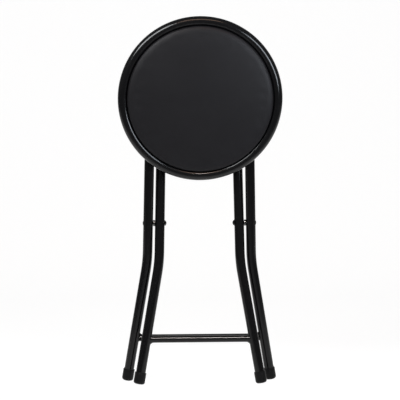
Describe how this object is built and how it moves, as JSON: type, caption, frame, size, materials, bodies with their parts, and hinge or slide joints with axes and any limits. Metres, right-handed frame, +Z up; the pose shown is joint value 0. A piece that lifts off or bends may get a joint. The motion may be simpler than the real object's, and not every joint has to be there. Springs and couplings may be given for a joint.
{
  "type": "padded folding stool",
  "caption": "Folding stool with a round padded seat in a rolled steel rim, on crossed tube frames that scissor open while the seat flips level and catches the far bar.",
  "frame": {"origin": "on the floor, midway between the feet and straight below the pivot bolts, with the stool folded", "axes": "+Z up along the folded stool, +Y away from the padded face, +X to the right of someone who faces the pad"},
  "size_m": [0.3, 0.0927, 0.6763],
  "materials": {
    "black_paint": "gloss black enamel on steel",
    "pad_vinyl": "matte black vinyl with a fine grain",
    "pad_foam": "open-cell foam",
    "board_ply": "bare plywood",
    "foot_plastic": "moulded black plastic",
    "clip_plastic": "moulded black plastic",
    "screw_steel": "zinc-plated steel",
    "bolt_steel": "black-coated steel",
    "spacer_steel": "black-coated steel"
  },
  "bodies": {
    "pivots": {"pivot_bolt_left": "bolt_steel", "pivot_bolt_right": "bolt_steel", "pivot_nut_left": "bolt_steel", "pivot_nut_right": "bolt_steel", "pivot_spacer_left": "spacer_steel", "pivot_spacer_right": "spacer_steel"},
    "outer_frame": {"outer_leg_tube": "black_paint", "outer_rung": "black_paint", "outer_foot_left": "foot_plastic", "outer_foot_right": "foot_plastic"},
    "inner_frame": {"inner_leg_tube": "black_paint", "inner_rung": "black_paint", "inner_foot_left": "foot_plastic", "inner_foot_right": "foot_plastic"},
    "seat": {"seat_pan": "black_paint", "seat_board": "board_ply", "seat_foam": "pad_foam", "seat_cover": "pad_vinyl", "hinge_strap_left": "black_paint", "hinge_strap_right": "black_paint", "bar_clip_left": "clip_plastic", "bar_clip_right": "clip_plastic", "strap_screws": "screw_steel", "clip_screws": "screw_steel", "board_screws": "screw_steel"}
  },
  "joints": [
    {"name": "outer_leg_swing", "type": "hinge", "parent": "pivots", "child": "outer_frame", "pos_m": [0, 0, 0.29634], "axis": [1, 0, 0], "range_deg": [0, 20.6]},
    {"name": "inner_leg_swing", "type": "hinge", "parent": "pivots", "child": "inner_frame", "pos_m": [0, 0, 0.29634], "axis": [-1, 0, 0], "range_deg": [0, 20.6]},
    {"name": "seat_flip", "type": "hinge", "parent": "outer_frame", "child": "seat", "pos_m": [0, -0.01254, 0.45925], "axis": [-1, 0, 0], "range_deg": [0, 115]}
  ],
  "couplings": [
    {"joint": "inner_leg_swing", "follows": "outer_leg_swing", "ratio": 1}
  ]
}
